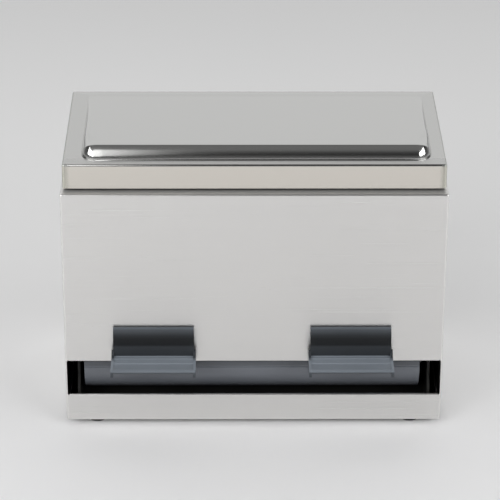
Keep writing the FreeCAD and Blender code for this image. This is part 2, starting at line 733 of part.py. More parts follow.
def hinge_leaf(way):
    """One leaf of the piano hinge. Way 1 is the lid's leaf, -1 the body's."""
    plate_x = HINGE_L / 2
    z_far = HINGE_AXIS_Z + way * LEAF_H
    plate = box(-plate_x, plate_x, BODY_D, BODY_D + LEAF_T,
                min(z_far, HINGE_AXIS_Z), max(z_far, HINGE_AXIS_Z))
    clear_r = KNUCKLE_R + KNUCKLE_GAP
    knuckle_l = HINGE_L / KNUCKLES
    own = []
    for index in range(KNUCKLES):
        low = -plate_x + index * knuckle_l
        high = low + knuckle_l
        mine = (index % 2 == 0) == (way < 0)
        if mine:
            ends = (low + KNUCKLE_GAP / 2, high - KNUCKLE_GAP / 2)
            own.append(rod_x(KNUCKLE_R, *ends, HINGE_AXIS_Y, HINGE_AXIS_Z))
        else:
            notch = box(low - KNUCKLE_GAP / 2, high + KNUCKLE_GAP / 2, BODY_D, BODY_D + LEAF_T,
                        HINGE_AXIS_Z - clear_r, HINGE_AXIS_Z + clear_r)
            plate = plate.cut(notch)
    leaf = fuse([plate] + own)
    bore_end = plate_x + OVERCUT
    leaf = leaf.cut(rod_x(KNUCKLE_BORE_R, -bore_end, bore_end, HINGE_AXIS_Y, HINGE_AXIS_Z))
    for x in HINGE_RIVETS_X:
        hole = rod_y(RIVET_R, BODY_D - OVERCUT, BODY_D + LEAF_T + OVERCUT, x, rivet_height(way))
        leaf = leaf.cut(hole)
    return leaf


def hinge_rivets(way):
    rivets = []
    for x in HINGE_RIVETS_X:
        z = rivet_height(way)
        shank = rod_y(RIVET_R, PANEL_IN, BODY_D + LEAF_T, x, z)
        outer = Part.makeCone(RIVET_HEAD_R, RIVET_TOP_R, RIVET_HEAD_T,
                              Vector(x, BODY_D + LEAF_T, z), Vector(0, 1, 0))
        inner = Part.makeCone(RIVET_HEAD_R, RIVET_TOP_R, RIVET_HEAD_T,
                              Vector(x, PANEL_IN, z), Vector(0, -1, 0))
        rivets.append(fuse([shank, outer, inner]))
    return Part.makeCompound(rivets)


def hinge_pin():
    return rod_x(HINGE_PIN_R, -HINGE_L / 2, HINGE_L / 2, HINGE_AXIS_Y, HINGE_AXIS_Z)


def lid_bumpers():
    x = LID_HALF - BUMPER_R
    pads = [
        rod_z(BUMPER_R, BODY_TOP, LID_LOW, side * x, y) for y in BUMPERS_Y for side in (-1, 1)
    ]
    return Part.makeCompound(pads)


def main():
    os.makedirs("parts", exist_ok=True)
    save("outer_shell", outer_shell())
    save("back_panel", back_panel())
    save("base_plate", base_plate())
    foot_names = ("foot_front_left", "foot_front_right", "foot_rear_left", "foot_rear_right")
    for name, (x, y) in zip(foot_names, feet_places()):
        save(name, foot(x, y))
    for name, side in (("left", -1), ("right", 1)):
        save("cheek_" + name, cheek(side))
        save("bush_" + name, bush(side))
        save("drum_cap_" + name, drum_cap(side), DRUM_SHIFT)
        save("return_spring_" + name, return_spring(side))
        save("lever_" + name, lever(side * LEVER_X), DRUM_SHIFT)
    save("cheek_screws", cheek_screws())
    save("cheek_nuts", cheek_nuts())
    save("hopper_floor", hopper_floor())
    save("straw_tray", straw_tray())
    save("drum", drum_with_screw_holes(), DRUM_SHIFT)
    save("axle", axle())
    save("axle_clips", axle_clips())
    save("lever_screws", lever_screws(), DRUM_SHIFT)
    save("lid", lid())
    save("lid_bumpers", lid_bumpers())
    save("hinge_leaf_body", hinge_leaf(-1))
    save("hinge_leaf_lid", hinge_leaf(1))
    save("hinge_rivets_body", hinge_rivets(-1))
    save("hinge_rivets_lid", hinge_rivets(1))
    save("hinge_pin", hinge_pin())


main()
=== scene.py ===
import json
import math

import bpy
from mathutils import Matrix, Vector


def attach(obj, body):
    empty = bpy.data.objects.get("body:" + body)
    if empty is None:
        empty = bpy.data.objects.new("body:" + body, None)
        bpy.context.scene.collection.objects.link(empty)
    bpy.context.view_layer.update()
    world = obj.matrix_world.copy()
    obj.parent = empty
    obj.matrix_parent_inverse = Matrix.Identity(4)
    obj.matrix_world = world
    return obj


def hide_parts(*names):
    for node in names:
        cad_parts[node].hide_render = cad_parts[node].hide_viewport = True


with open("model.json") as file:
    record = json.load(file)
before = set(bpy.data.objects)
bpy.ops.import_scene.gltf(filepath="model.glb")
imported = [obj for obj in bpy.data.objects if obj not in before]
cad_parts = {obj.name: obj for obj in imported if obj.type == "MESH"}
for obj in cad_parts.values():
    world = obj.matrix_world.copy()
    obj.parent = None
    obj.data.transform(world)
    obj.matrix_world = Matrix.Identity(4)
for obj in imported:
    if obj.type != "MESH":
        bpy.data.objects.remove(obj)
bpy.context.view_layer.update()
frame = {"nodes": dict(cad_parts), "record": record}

NODES = frame["nodes"]
MM = 0.001


def put_in_scene(name, data):
    """Adds an object with its data to the scene."""
    made = bpy.data.objects.new(name, data)
    bpy.context.scene.collection.objects.link(made)
    return made


# ---- camera: a long lens, a little left of the middle, looking down on the front ----
# Its place is in metres and its turns are in degrees.
FRAME_PIXELS = 500
FOCAL_PIXELS = 2427.3
SENSOR_MM = 36.0
CAMERA_AT = (-0.01334, -1.32374, 0.74517)
CAMERA_YAW = 0.4845
CAMERA_PITCH = 26.184
CAMERA_ROLL = 0.1726
CAMERA_REACH = 50.0


def make_camera():
    data = bpy.data.cameras.new("camera")
    data.sensor_width = SENSOR_MM
    data.lens = FOCAL_PIXELS * SENSOR_MM / FRAME_PIXELS
    data.clip_end = CAMERA_REACH
    camera = put_in_scene("camera", data)
    yaw, pitch, roll = (math.radians(angle) for angle in (CAMERA_YAW, CAMERA_PITCH, CAMERA_ROLL))
    ahead = math.cos(pitch)
    forward = Vector((math.sin(yaw) * ahead, math.cos(yaw) * ahead, -math.sin(pitch)))
    level = Vector((math.cos(yaw), -math.sin(yaw), 0.0))
    upward = level.cross(forward)
    right = level * math.cos(roll) + upward * math.sin(roll)
    up = upward * math.cos(roll) - level * math.sin(roll)
    turn = Matrix((right, up, -forward)).transposed().to_4x4()
    camera.matrix_world = Matrix.Translation(CAMERA_AT) @ turn
    bpy.context.scene.camera = camera


# ---- node trees ----
# Noise seldom leaves this range, so spans of a noise start and end there.
NOISE_LOW = 0.3
NOISE_HIGH = 0.7
NOISE_ROUGHNESS = 0.55
# What a mix node calls its sockets for each kind of value that it mixes.
SOCKET_TYPES = {"FLOAT": "VALUE", "VECTOR": "VECTOR", "RGBA": "RGBA"}


def tinted(colour, share):
    return tuple(channel * share for channel in colour)


class Tree:
    """The node tree of a material or a world, with short calls to add and join nodes."""

    def __init__(self, owner):
        owner.use_nodes = True
        self.nodes = owner.node_tree.nodes
        self.links = owner.node_tree.links
        self.places = self.add("ShaderNodeTexCoord").outputs

    def add(self, kind, **settings):
        node = self.nodes.new(kind)
        for key, value in settings.items():
            setattr(node, key, value)
        return node

    def feed(self, value, socket):
        """Joins another node's output to a socket, or sets the socket to a constant."""
        if isinstance(value, bpy.types.NodeSocket):
            self.links.new(value, socket)
        elif socket.type == "RGBA":
            socket.default_value = (*value, 1.0)
        else:
            socket.default_value = value

    def compute(self, kind, operation, *values):
        """The result of a math or vector math node."""
        node = self.add(kind, operation=operation)
        for value, socket in zip(values, node.inputs):
            self.feed(value, socket)
        return node.outputs[0]

    def maths(self, operation, *values):
        return self.compute("ShaderNodeMath", operation, *values)

    def vector_maths(self, operation, *values):
        return self.compute("ShaderNodeVectorMath", operation, *values)

    def part(self, vector, axis):
        """The X, Y or Z of a vector."""
        node = self.add("ShaderNodeSeparateXYZ")
        self.feed(vector, node.inputs[0])
        return node.outputs[axis]

    def place(self, axis):
        """Position on the object along X, Y or Z, in metres."""
        return self.part(self.places["Object"], axis)

    def noise(self, scales, detail):
        """Noise with scales along X, Y and Z in waves per metre."""
        spread = self.add("ShaderNodeMapping")
        self.feed(self.places["Object"], spread.inputs["Vector"])
        self.feed(scales, spread.inputs["Scale"])
        texture = self.add("ShaderNodeTexNoise")
        self.feed(spread.outputs["Vector"], texture.inputs["Vector"])
        self.feed(1.0, texture.inputs["Scale"])
        self.feed(detail, texture.inputs["Detail"])
        self.feed(NOISE_ROUGHNESS, texture.inputs["Roughness"])
        return texture.outputs["Fac"]

    def span(self, value, low, high, from_low=NOISE_LOW, from_high=NOISE_HIGH, curve="LINEAR"):
        """A value moved from one range to another, and held at its ends."""
        node = self.add("ShaderNodeMapRange", interpolation_type=curve)
        self.feed(value, node.inputs["Value"])
        self.feed(from_low, node.inputs["From Min"])
        self.feed(from_high, node.inputs["From Max"])
        self.feed(low, node.inputs["To Min"])
        self.feed(high, node.inputs["To Max"])
        return node.outputs["Result"]

    def mix(self, kind, factor, first, second, mode="MIX"):
        node = self.add("ShaderNodeMix", data_type=kind, blend_type=mode)
        wanted = SOCKET_TYPES[kind]
        ends = [socket for socket in node.inputs if socket.type == wanted][-2:]
        self.feed(factor, node.inputs["Factor"])
        self.feed(first, ends[0])
        self.feed(second, ends[1])
        return next(socket for socket in node.outputs if socket.type == wanted)

    def blend(self, factor, first, second, mode="MIX"):
        """A mix of two colours."""
        return self.mix("RGBA", factor, first, second, mode)

    def varied(self, noise, colour, shares):
        """A colour that goes with a noise between two shares of itself."""
        low, high = shares
        return self.blend(self.span(noise, 0, 1), tinted(colour, low), tinted(colour, high))

    def grey_ramp(self, value, levels):
        """Greys that follow a value through (position, level) pairs."""
        node = self.add("ShaderNodeValToRGB")
        stops = node.color_ramp.elements
        for _ in levels[2:]:
            stops.new(0.5)
        for stop, (position, level) in zip(stops, levels):
            stop.position = position
            stop.color = (level, level, level, 1)
        self.feed(value, node.inputs["Fac"])
        return node.outputs["Color"]


class Surface(Tree):
    """A material with one shader."""

    def __init__(self, name):
        self.name = name
        self.material = bpy.data.materials.new(name)
        super().__init__(self.material)
        self.shader = self.nodes["Principled BSDF"]

    def shade(self, socket, value):
        self.feed(value, self.shader.inputs[socket])

    def rough(self, noise, roughness, shares):
        """Roughness that goes with a noise between two shares of itself."""
        low, high = shares
        self.shade("Roughness", self.span(noise, roughness * low, roughness * high))

    def relief(self, height, distance, strength=1.0):
        node = self.add("ShaderNodeBump")
        self.feed(height, node.inputs["Height"])
        self.feed(distance, node.inputs["Distance"])
        self.feed(strength, node.inputs["Strength"])
        self.shade("Normal", node.outputs["Normal"])


# ---- brushed sheet steel ----
# The grain: waves per metre across and along it, and its level of detail.
FINE_GRAIN = (2300, 6, 4)
BROAD_GRAIN = (260, 1.5, 2)
# The shares of the colour and of the roughness that the fine grain goes between.
GRAIN_COLOUR = (0.988, 1.012)
GRAIN_ROUGHNESS = (0.9, 1.1)
GRAIN_RELIEF = 0.0000012
# The broad grain and wide clouds: the shares of the colour, and how much of them shows.
BROAD_COLOUR = 0.9928
BROAD_SHOWS = 0.5
STEEL_CLOUDS = (9, 9, 9)
STEEL_CLOUD_DETAIL = 2
STEEL_CLOUD_COLOUR = 0.98
STEEL_CLOUD_SHOWS = 0.35
BRUSH_STRETCH = 0.75
# A face is a side face where its normal has more than this along X.
SIDE_FACING = 0.7
# Widths over which one steel gives way to another, in metres.
TINT_FADE = 0.0005
END_FADE = 0.0035
END_TOP_FADE = 0.0001
BAND_FADE = 0.004
BAND_OVER = 0.0003
BAND_UNDER_START = 0.00012
BAND_UNDER_FULL = 0.00004


class BrushedSteel(Surface):
    """Sheet steel with a level grain. Some places can differ from the rest before it is finished."""

    def __init__(self, name, colour, roughness):
        super().__init__(name)
        self.normal = self.add("ShaderNodeNewGeometry").outputs["Normal"]
        sideways = self.maths("ABSOLUTE", self.part(self.normal, "X"))
        self.side = self.maths("GREATER_THAN", sideways, SIDE_FACING)
        self.fine = self.grain(*FINE_GRAIN)
        broad = self.span(self.grain(*BROAD_GRAIN), 0, BROAD_SHOWS)
        cloud = self.span(self.noise(STEEL_CLOUDS, STEEL_CLOUD_DETAIL), 0, STEEL_CLOUD_SHOWS)
        base = self.varied(self.fine, colour, GRAIN_COLOUR)
        base = self.blend(broad, base, tinted(colour, BROAD_COLOUR))
        self.base = self.blend(cloud, base, tinted(colour, STEEL_CLOUD_COLOUR))
        low, high = GRAIN_ROUGHNESS
        self.roughness = self.span(self.fine, roughness * low, roughness * high)
        self.metal = 1.0

    def grain(self, across, along, detail):
        """Noise drawn out along X, and along Y on the side faces."""
        front = self.noise((along, across, across), detail)
        flank = self.noise((across, along, across), detail)
        return self.mix("FLOAT", self.side, front, flank)

    # Painted light: below a height the colour gives way to another, lighter and warmer one, with the same
    # grain.
    def paint_light_below(self, height, colour):
        low = self.span(self.place("Z"), 1, 0, height - TINT_FADE, height + TINT_FADE)
        self.base = self.blend(low, self.base, self.varied(self.fine, colour, GRAIN_COLOUR))

    def shade_and_roughen_ends(self, start, top, kept, rougher):
        """Past a start across X and below a top, shares of the colour are kept, a painted shade on the
        rounded ends, and it is rougher.
        """
        outside = self.span(self.maths("ABSOLUTE", self.place("X")), 0, 1, start, start + END_FADE)
        low = self.span(self.place("Z"), 1, 0, top - END_TOP_FADE, top)
        ends = self.maths("MULTIPLY", outside, low)
        self.base = self.blend(ends, self.base, kept, "MULTIPLY")
        self.roughness = self.maths("MULTIPLY_ADD", ends, rougher, self.roughness)

    def dull_band(self, height, rear, metal, rougher):
        """At a height, from the front to a rear end, it is part metal and rougher."""
        start, full = height - BAND_UNDER_START, height - BAND_UNDER_FULL
        under = self.span(self.place("Z"), 0, 1, start, full)
        over = self.span(self.place("Z"), 1, 0, height, height + BAND_OVER)
        front = self.span(self.place("Y"), 1, 0, rear, rear + BAND_FADE)
        band = self.maths("MULTIPLY", self.maths("MULTIPLY", under, over), front)
        self.roughness = self.maths("MULTIPLY_ADD", band, rougher, self.roughness)
        self.metal = self.span(band, 1, metal, 0, 1)

    def finished(self):
        self.shade("Base Color", self.base)
        self.shade("Roughness", self.roughness)
        self.shade("Metallic", self.metal)
        self.shade("Anisotropic", BRUSH_STRETCH)
        along = self.mix("VECTOR", self.side, (1, 0, 0), (0, 1, 0))
        self.shade("Tangent", self.vector_maths("CROSS_PRODUCT", self.normal, along))
        self.relief(self.fine, GRAIN_RELIEF)
        return self


SHELL_STEEL = (0.795, 0.786, 0.771)
SHELL_ROUGHNESS = 0.3
# The shell's upper ledge: its height, where it ends, its share of metal and its added roughness.
SHELL_LEDGE = (0.1535, -0.0425, 0.82, 0.15)
LID_STEEL = (0.558, 0.558, 0.547)
LID_ROUGHNESS = 0.13
# Painted light: below a height, the lid's flanges, one sheet with its top, get a warmer and lighter steel
# colour for the brighter reflection they show.
LID_EDGE_PAINTED_LIGHT = (0.1696, (0.665, 0.632, 0.58))
# The lid's outer ends: start across X, upper limit, shares of the colour kept as a painted shade on their
# rounded bends, and added roughness.
LID_ENDS_PAINTED_SHADE = (0.1070, 0.1708, (0.80, 0.83, 0.80), 0.25)
# The lid's front rim: its height, where it ends, its share of metal and its added roughness.
LID_RIM = (0.1708, -0.0385, 0.20, 0.30)


def brushed_shell():
    steel = BrushedSteel("brushed_shell", SHELL_STEEL, SHELL_ROUGHNESS)
    steel.dull_band(*SHELL_LEDGE)
    return steel.finished()


def brushed_lid():
    steel = BrushedSteel("brushed_lid", LID_STEEL, LID_ROUGHNESS)
    steel.paint_light_below(*LID_EDGE_PAINTED_LIGHT)
    steel.shade_and_roughen_ends(*LID_ENDS_PAINTED_SHADE)
    steel.dull_band(*LID_RIM)
    return steel.finished()


# ---- satin plastic, plain metal and dull surfaces ----
# Clouds and specks are noise, with scales in waves per metre. A colour or roughness goes between two
# shares of itself. A relief has its depth in metres and its strength.
PLASTIC_CLOUDS = (25, 60, 60)
PLASTIC_CLOUD_DETAIL = 3
PLASTIC_CLOUD_COLOUR = (0.94, 1.06)
PLASTIC_CLOUD_ROUGHNESS = (0.9, 1.15)
PLASTIC_SPECKS = (1400, 1400, 1400)
PLASTIC_SPECK_DETAIL = 2
PLASTIC_SPECK_COLOUR = 1.15
PLASTIC_SPECK_SHOWS = 0.25
PLASTIC_RELIEF = (0.00002, 0.5)
PLASTIC_ROUGHNESS = 0.42

METAL_CLOUDS = (60, 60, 60)
METAL_CLOUD_COLOUR = (0.9, 1.08)
METAL_SPECKS = (900, 900, 900)
METAL_SPECK_ROUGHNESS = (0.8, 1.25)
METAL_DETAIL = 3
METAL_RELIEF = (0.00001, 0.4)

DULL_CLOUDS = (70, 70, 70)
DULL_CLOUD_COLOUR = (0.8, 1.25)
DULL_SPECKS = (1100, 1100, 1100)
DULL_SPECK_ROUGHNESS = (0.85, 1.15)
DULL_DETAIL = 3
DULL_RELIEF = (0.00006, 0.6)

USUAL_SHINE = 0.5


def moulded_plastic(name, colour, painted_shading, shine=USUAL_SHINE):
    """Satin plastic. The painted shading holds shares of the colour by height in millimetres, from low to
    high: painted light and shade.
    """
    plastic = Surface(name)
    cloud = plastic.noise(PLASTIC_CLOUDS, PLASTIC_CLOUD_DETAIL)
    speck = plastic.noise(PLASTIC_SPECKS, PLASTIC_SPECK_DETAIL)
    base = plastic.varied(cloud, colour, PLASTIC_CLOUD_COLOUR)
    specks = plastic.span(speck, 0, PLASTIC_SPECK_SHOWS)
    base = plastic.blend(specks, base, tinted(colour, PLASTIC_SPECK_COLOUR))
    # The colour is multiplied by the painted light and shade by height.
    low, high = painted_shading[0][0], painted_shading[-1][0]
    climb = plastic.span(plastic.place("Z"), 0, 1, low * MM, high * MM)
    shares = plastic.grey_ramp(climb, [((z - low) / (high - low), share) for z, share in painted_shading])
    plastic.shade("Base Color", plastic.blend(1.0, base, shares, "MULTIPLY"))
    plastic.shade("Specular IOR Level", shine)
    plastic.rough(cloud, PLASTIC_ROUGHNESS, PLASTIC_CLOUD_ROUGHNESS)
    plastic.relief(speck, *PLASTIC_RELIEF)
    return plastic


def plain_metal(name, colour, roughness):
    metal = Surface(name)
    cloud = metal.noise(METAL_CLOUDS, METAL_DETAIL)
    speck = metal.noise(METAL_SPECKS, METAL_DETAIL)
    metal.shade("Base Color", metal.varied(cloud, colour, METAL_CLOUD_COLOUR))
    metal.shade("Metallic", 1.0)
    metal.rough(speck, roughness, METAL_SPECK_ROUGHNESS)
    metal.relief(speck, *METAL_RELIEF)
    return metal


def dull(name, colour, roughness, shine=USUAL_SHINE):
    stuff = Surface(name)
    cloud = stuff.noise(DULL_CLOUDS, DULL_DETAIL)
    speck = stuff.noise(DULL_SPECKS, DULL_DETAIL)
    stuff.shade("Base Color", stuff.varied(cloud, colour, DULL_CLOUD_COLOUR))
    stuff.shade("Specular IOR Level", shine)
    stuff.rough(speck, roughness, DULL_SPECK_ROUGHNESS)
    stuff.relief(speck, *DULL_RELIEF)
    return stuff


DRUM_GREY = (0.124, 0.134, 0.152)
# Shares of the drum's colour by height in millimetres, a painted shade: darker above its rebate, where
# the slot's upper edge shades it.
DRUM_PAINTED_SHADE = ((10.0, 1.0), (38.3, 1.0), (38.7, 0.62), (62.0, 0.62))
LEVER_GREY = (0.256, 0.289, 0.330)
# Shares of the lever's colour by height in millimetres, painted light and shade: the shelf lit from
# above, the back plate in shade, and a painted highlight on its rolled top.
LEVER_PAINTED_LIGHT_AND_SHADE = (
    (45.5, 0.18), (47.0, 0.20), (48.1, 0.24), (48.4, 0.44), (48.6, 0.60), (49.0, 0.61), (49.25, 0.70),
    (49.75, 0.70), (50.0, 0.22), (50.2, 0.11), (56.0, 0.107), (57.3, 0.033), (61.4, 0.033), (63.4, 0.07),
    (64.7, 0.12), (66.1, 0.19), (67.4, 0.38), (68.5, 0.60), (69.6, 0.82), (70.2, 1.0),
)
INNER_STEEL = (0.5, 0.5, 0.49)
HINGE_STEEL = (0.66, 0.66, 0.65)
AXLE_STEEL = (0.6, 0.6, 0.6)
SPRING_STEEL = (0.3, 0.3, 0.3)
FASTENER_STEEL = (0.62, 0.61, 0.58)
# Painted shade: the cheeks are near black so that the slot's ends stay as dark as their shade.
CHEEK_PAINTED_SHADE = (0.011, 0.011, 0.010)
# Painted shade: the tray under the drum is near black for the shade in the hollow below it.
TRAY_PAINTED_SHADE = (0.006, 0.006, 0.0055)
NYLON = (0.7, 0.69, 0.64)
RUBBER_BLACK = (0.018, 0.018, 0.018)

SURFACES = (
    brushed_shell(),
    brushed_lid(),
    BrushedSteel("inner_steel", INNER_STEEL, roughness=0.4).finished(),
    BrushedSteel("hinge_steel", HINGE_STEEL, roughness=0.3).finished(),
    plain_metal("rivet_steel", HINGE_STEEL, roughness=0.3),
    plain_metal("axle_steel", AXLE_STEEL, roughness=0.2),
    plain_metal("spring_steel", SPRING_STEEL, roughness=0.35),
    plain_metal("bright_fastener", FASTENER_STEEL, roughness=0.33),
    moulded_plastic("drum_plastic", DRUM_GREY, DRUM_PAINTED_SHADE),
    moulded_plastic("lever_plastic", LEVER_GREY, LEVER_PAINTED_LIGHT_AND_SHADE, shine=0.25),
    dull("black_cheek", CHEEK_PAINTED_SHADE, roughness=0.6, shine=0.2),
    dull("dark_tray", TRAY_PAINTED_SHADE, roughness=0.6),
    dull("bush_nylon", NYLON, roughness=0.5),
    dull("black_rubber", RUBBER_BLACK, roughness=0.75),
)
MATERIALS = {surface.name: surface.material for surface in SURFACES}


def cover_nodes():
    """Gives each CAD node the material of its slot."""
    for row in frame["record"]["subparts"]:
        node = NODES[row["node"]]
        node.data.materials.clear()
        node.data.materials.append(MATERIALS[row["material_slot"]])


# ---- lid: one smooth pressed sheet for the CAD solid's stamped panel ----
# Millimetres, with depths counted from front to rear. The frame's Y of nought is at the middle depth.
DEPTH_MIDDLE = 47.85
LID_HALF_X = 111.5
LID_FRONT = 4.0
LID_REAR = 115.0
LID_LOW = 155.6
LID_TOP = 170.8
LID_SHEET = 0.8
LID_CORNER_R = 1.3
LID_BEND_IN = 1.0
LID_BEND_DOWN = 1.6
# The raised panel is a wedge: a steep front wall, rounded ends, and a top that falls to the rear.
WEDGE_X = 1.2
WEDGE_HALF_X = 102.2
WEDGE_FRONT = 9.0
WEDGE_REAR = 107.6
WEDGE_H = 8.45
WEDGE_SLOPE = 4.3
WEDGE_END = 9.0
WEDGE_BACK = 11.0
WEDGE_FOOT_TURN = math.radians(81.5)
WEDGE_WALL = 0.6
# The crest is rounded over this share of the height on both sides of it.
WEDGE_CREST = 0.08
# The foot's curve closes up from one distance off the ends to another, by a share.
PINCH_FROM = 15.0
PINCH_FULL = 7.5
PINCH_SHARE = 0.85
# The panel's rounded ends narrow to a share between two distances behind its front.
NARROW_FROM = 10.0
NARROW_FULL = 34.0
NARROW_SHARE = 0.34
SHARP_ANGLE = math.radians(35)
CORNER_STEPS = 8
END_STEPS = 26
LONG_STEPS = 40
DEEP_STEPS = 24
FOOT_STEPS = 14
WALL_STEPS = 36
BEND_STEPS = 8


def held(value):
    """A value held between nought and one."""
    return min(max(value, 0.0), 1.0)


def wall_profile():
    """Depth and share of height from the rim up the front wall, over the crest and down to the rear.

    The foot's curve rises level out of the rim until it is as steep as the wall, which starts
    upright and leans back to its crest.
    """
    join = WEDGE_H / (2 * math.tan(WEDGE_FOOT_TURN) * WEDGE_SLOPE)
    foot = WEDGE_SLOPE * join * join
    radius = WEDGE_H * join / (1 - math.cos(WEDGE_FOOT_TURN))
    rows = []
    for step in range(FOOT_STEPS):
        turn = WEDGE_FOOT_TURN * step / FOOT_STEPS
        inset = foot - radius * (math.sin(WEDGE_FOOT_TURN) - math.sin(turn))
        rows.append((inset, radius * (1 - math.cos(turn)) / WEDGE_H))
    reach = 1 + WEDGE_CREST
    for step in range(WALL_STEPS + 1):
        climb = join + (reach - join) * step / WALL_STEPS
        near = max(WEDGE_CREST - abs(climb - 1.0), 0.0) / WEDGE_CREST
        rows.append((WEDGE_SLOPE * climb * climb, min(climb, 1.0) - near * near * WEDGE_CREST / 4))
    last = rows[-1][0]
    depth = WEDGE_REAR - WEDGE_FRONT
    for step in range(1, DEEP_STEPS + 1):
        rows.append((last + (depth - last) * step / DEEP_STEPS, 1.0))
    fall = depth - WEDGE_SLOPE
    return [(WEDGE_FRONT + inset, share * min((depth - inset) / fall, 1.0)) for inset, share in rows]


def end_profile():
    """Place across X and share of height: a quarter circle at each end, and level between."""
    rows = []
    for step in range(END_STEPS):
        turn = math.pi / 2 * step / END_STEPS
        rows.append((WEDGE_END * (1 - math.cos(turn)), math.sin(turn)))
    left = [(WEDGE_X - WEDGE_HALF_X + inset, share) for inset, share in rows]
    right = [(WEDGE_X + WEDGE_HALF_X - inset, share) for inset, share in reversed(rows)]
    start = WEDGE_X - WEDGE_HALF_X + WEDGE_END
    width = 2 * (WEDGE_HALF_X - WEDGE_END)
    middle = [(start + width * step / LONG_STEPS, 1.0) for step in range(LONG_STEPS + 1)]
    return left + middle + right


def narrowed(x, along):
    """Place across X with the rounded ends narrowed towards the rear. Along counts from the front."""
    turn = held((along - NARROW_FROM) / (NARROW_FULL - NARROW_FROM))
    share = 1 - (1 - NARROW_SHARE) * turn * turn * (3 - 2 * turn)
    flat = WEDGE_HALF_X - WEDGE_END
    out = abs(x - WEDGE_X)
    if out > flat:
        moved = WEDGE_HALF_X - (WEDGE_HALF_X - out) * share
    else:
        moved = out * (WEDGE_HALF_X - WEDGE_END * share) / flat
    return WEDGE_X + math.copysign(moved, x - WEDGE_X)


def stamped_grid(base, inset):
    """The panel's points, row by row from the front, moved in by an inset at its edges.

    The front wall runs back towards each end, by as much as the end falls, and the curve at its
    foot closes up there.
    """
    deep, across = wall_profile(), end_profile()
    foot_end = deep[FOOT_STEPS][0]
    front, rear = deep[0][0], deep[-1][0]
    middle = (front + rear) / 2
    squeeze_x = 1 - inset / WEDGE_HALF_X
    squeeze_y = 1 - inset / (rear - middle)
    grid = []
    for y, share in deep:
        row = []
        for x, end_share in across:
            beyond = (abs(x - WEDGE_X) - WEDGE_HALF_X + PINCH_FROM) / (PINCH_FROM - PINCH_FULL)
            at = y + max(foot_end - y, 0.0) * PINCH_SHARE * held(beyond)
            along = at + WEDGE_BACK * (1 - end_share) * (rear - at) / (rear - front)
            out = narrowed(x, along - front) - WEDGE_X
            place = (WEDGE_X + out * squeeze_x, middle + (along - middle) * squeeze_y)
            row.append((*place, base + WEDGE_H * end_share * share))
        grid.append(row)
    return grid


def grid_edge(grid):
    """Indices of the grid's edge, counter-clockwise from its front left corner, corners repeated."""
    rows, columns = len(grid), len(grid[0])
    front = list(range(1, columns - 1))
    right = [row * columns + columns - 1 for row in range(1, rows - 1)]
    rear = [(rows - 1) * columns + column for column in reversed(front)]
    left = [row * columns for row in range(rows - 2, 0, -1)]
    corners = (0, columns - 1, rows * columns - 1, (rows - 1) * columns)
    edge = []
    for corner, side in zip(corners, (front, right, rear, left)):
        edge += [corner] * (CORNER_STEPS + 1) + side
    return edge


def edge_shares(values):
    """How far each value but the first and last is from the first to the last."""
    first, last = values[0], values[-1]
    return [(value - first) / (last - first) for value in values[1:-1]]


def tray_ring(grid, inset, z):
    """The lid's outline at an inset, with a point for each place on the grid's edge."""
    half_x = LID_HALF_X - LID_CORNER_R
    front, rear = LID_FRONT + LID_CORNER_R, LID_REAR - LID_CORNER_R
    radius = LID_CORNER_R - inset
    arcs = []
    centres = ((-half_x, front), (half_x, front), (half_x, rear), (-half_x, rear))
    for quarter, (x, y) in enumerate(centres):
        turns = [math.pi / 2 * (quarter - 2 + step / CORNER_STEPS) for step in range(CORNER_STEPS + 1)]
        arcs.append([(x + radius * math.cos(t), y + radius * math.sin(t), z) for t in turns])
    across = edge_shares([point[0] for point in grid[0]])
    deep = edge_shares([row[0][1] for row in grid])
    backwards = [[1 - share for share in reversed(shares)] for shares in (across, deep)]
    points = []
    for arc, next_arc, shares in zip(arcs, arcs[1:] + arcs[:1], (across, deep, *backwards)):
        (x, y, _), (next_x, next_y, _) = arc[-1], next_arc[0]
        points += arc
        points += [(x + (next_x - x) * share, y + (next_y - y) * share, z) for share in shares]
    return points


def bend_rows(across, down, inset, top):
    """Insets and heights of the bend between the lid's top and its flanges, a quarter of an ellipse."""
    turns = [math.pi / 2 * step / BEND_STEPS for step in range(BEND_STEPS + 1)]
    return [(inset + across * (1 - math.sin(t)), top - down * (1 - math.cos(t))) for t in turns]


def grid_faces(grid, first, flip):
    """Faces of a grid whose points start at a first index."""
    columns = len(grid[0])
    faces = []
    for row in range(len(grid) - 1):
        for column in range(columns - 1):
            corner = first + row * columns + column
            face = (corner, corner + 1, corner + columns + 1, corner + columns)
            faces.append(face[::-1] if flip else face)
    return faces


def band_faces(inner, outer):
    """Faces between two loops. A face loses a corner where a loop stands still."""
    faces = []
    for index in range(len(inner)):
        after = (index + 1) % len(inner)
        corners = (inner[index], outer[index], outer[after], inner[after])
        faces.append(tuple(dict.fromkeys(corners)))
    return faces


def lid_sheet():
    """Points and faces of the lid: its top, the bend and flanges outside and inside, its underside."""
    under = LID_TOP - LID_SHEET
    top, below = stamped_grid(LID_TOP, 0.0), stamped_grid(under, WEDGE_WALL)
    outer_bend = bend_rows(LID_BEND_IN, LID_BEND_DOWN, 0.0, LID_TOP)
    inner_bend = bend_rows(LID_BEND_IN - LID_SHEET, LID_BEND_DOWN - LID_SHEET, LID_SHEET, under)
    rows = outer_bend + [(0.0, LID_LOW), (LID_SHEET, LID_LOW)] + inner_bend[::-1]
    points = [point for grid in (top, below) for row in grid for point in row]
    grid_size = len(points) // 2
    edge = grid_edge(top)
    loops = [edge]
    for inset, z in rows:
        loops.append(list(range(len(points), len(points) + len(edge))))
        points += tray_ring(top, inset, z)
    loops.append([grid_size + index for index in edge])
    faces = grid_faces(top, 0, False) + grid_faces(below, grid_size, True)
    for inner, outer in zip(loops, loops[1:]):
        faces += band_faces(inner, outer)
    return points, faces


